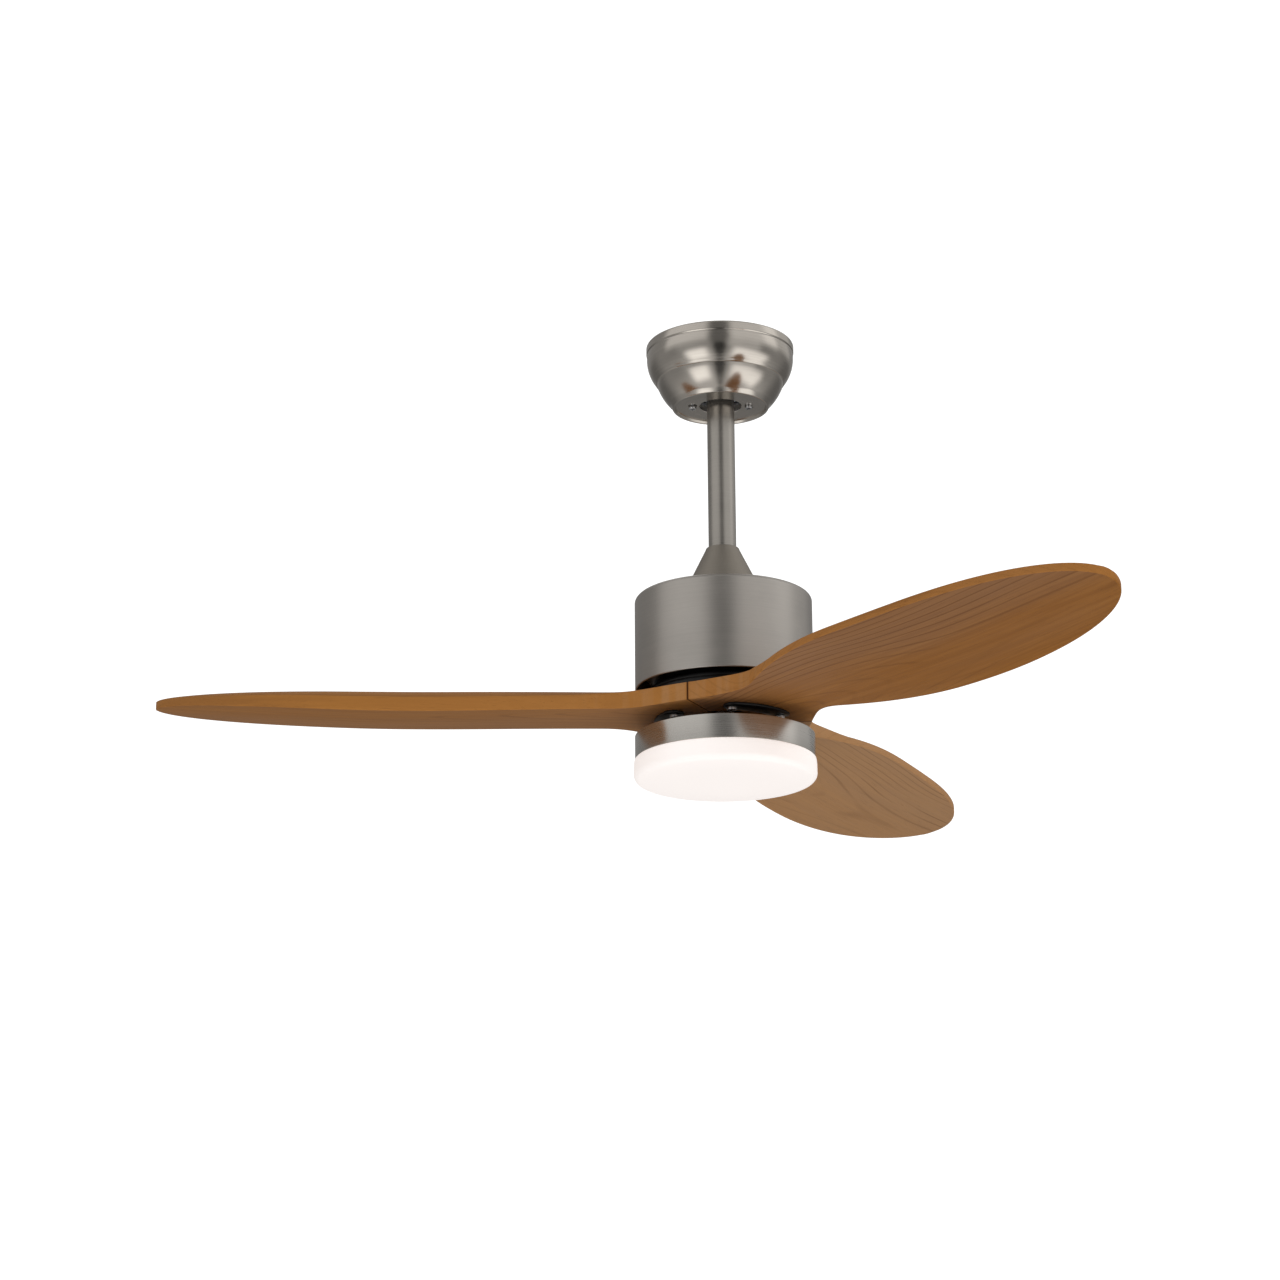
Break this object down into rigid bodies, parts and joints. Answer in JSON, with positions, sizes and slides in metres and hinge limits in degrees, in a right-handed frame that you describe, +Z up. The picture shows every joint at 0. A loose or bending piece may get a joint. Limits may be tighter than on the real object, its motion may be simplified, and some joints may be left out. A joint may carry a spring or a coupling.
{
  "type": "ceiling fan with light",
  "caption": "Ceiling fan with solid wood blades on a brushed motor housing, hung on a downrod from a stepped canopy, with a round opal light under the blades.",
  "frame": {"origin": "centre of the hanger bracket's top face, on the ceiling", "axes": "+Z up along the downrod, X through the two canopy screws"},
  "size_m": [0.8867, 0.9556, 0.451],
  "materials": {
    "brushed_nickel": "brushed nickel plate with fine lines round the axis",
    "satin_nickel": "satin nickel paint",
    "zinc_plate": "zinc-plated pressed steel",
    "steel": "bright machined steel",
    "iron": "stacked steel laminations",
    "copper": "enamelled copper wire",
    "magnet": "sintered ferrite",
    "black_paint": "semi-gloss black powder coat",
    "wood": "oiled golden-brown solid wood, grain along the blade",
    "rubber": "matt black rubber",
    "pale_plastic": "pale blue-grey moulded plastic",
    "white_plastic": "white moulded plastic",
    "cable": "dark sleeved lead wires",
    "opal": "opal acrylic, lit from inside"
  },
  "bodies": {
    "ceiling_mount": {"hanger_bracket": "zinc_plate", "canopy": "brushed_nickel", "canopy_screw_1": "steel", "canopy_screw_2": "steel", "receiver_box": "white_plastic", "terminal_block": "white_plastic"},
    "ball_seat": {"ball_seat": "rubber"},
    "hanging_assembly": {"hanger_ball": "pale_plastic", "ball_pin": "steel", "ball_set_screw": "steel", "downrod": "brushed_nickel", "lead_wires": "cable", "coupling_cover": "satin_nickel", "motor_yoke": "zinc_plate", "yoke_pin": "steel", "cotter_clip": "steel", "yoke_set_screw_1": "steel", "yoke_set_screw_2": "steel", "motor_housing": "brushed_nickel", "housing_screw_1": "steel", "housing_screw_2": "steel", "housing_screw_3": "steel", "motor_shaft": "steel", "stator_core": "iron", "upper_windings": "copper", "lower_windings": "copper", "upper_bearing": "steel", "lower_bearing": "steel", "light_bar": "zinc_plate", "shaft_nut": "steel", "light_ring": "brushed_nickel", "light_screw_1": "steel", "light_screw_2": "steel", "led_driver": "white_plastic", "led_board": "white_plastic"},
    "rotor": {"rotor_top_cap": "black_paint", "magnet_ring": "magnet", "rotor_bottom_cap": "black_paint", "flywheel": "black_paint", "blade_gasket": "rubber", "blade_1": "wood", "blade_2": "wood", "blade_3": "wood", "blade_plate_1": "black_paint", "blade_plate_2": "black_paint", "blade_plate_3": "black_paint", "blade_screw_1": "steel", "blade_screw_2": "steel", "blade_screw_3": "steel", "blade_screw_4": "steel", "blade_screw_5": "steel", "blade_screw_6": "steel"},
    "shade": {"diffuser": "opal"}
  },
  "joints": [
    {"name": "hanger_tilt_x", "type": "hinge", "parent": "ceiling_mount", "child": "ball_seat", "pos_m": [0, 0, -0.038], "axis": [1, 0, 0], "range_deg": [-9, 9]},
    {"name": "hanger_tilt_y", "type": "hinge", "parent": "ball_seat", "child": "hanging_assembly", "pos_m": [0, 0, -0.038], "axis": [0, 1, 0], "range_deg": [-9, 9]},
    {"name": "rotor_spin", "type": "hinge", "parent": "hanging_assembly", "child": "rotor", "pos_m": [0, 0, -0.37], "axis": [0, 0, 1], "continuous": true},
    {"name": "shade_twist", "type": "hinge", "parent": "hanging_assembly", "child": "shade", "pos_m": [0, 0, -0.43], "axis": [0, 0, 1], "range_deg": [0, 18]}
  ]
}
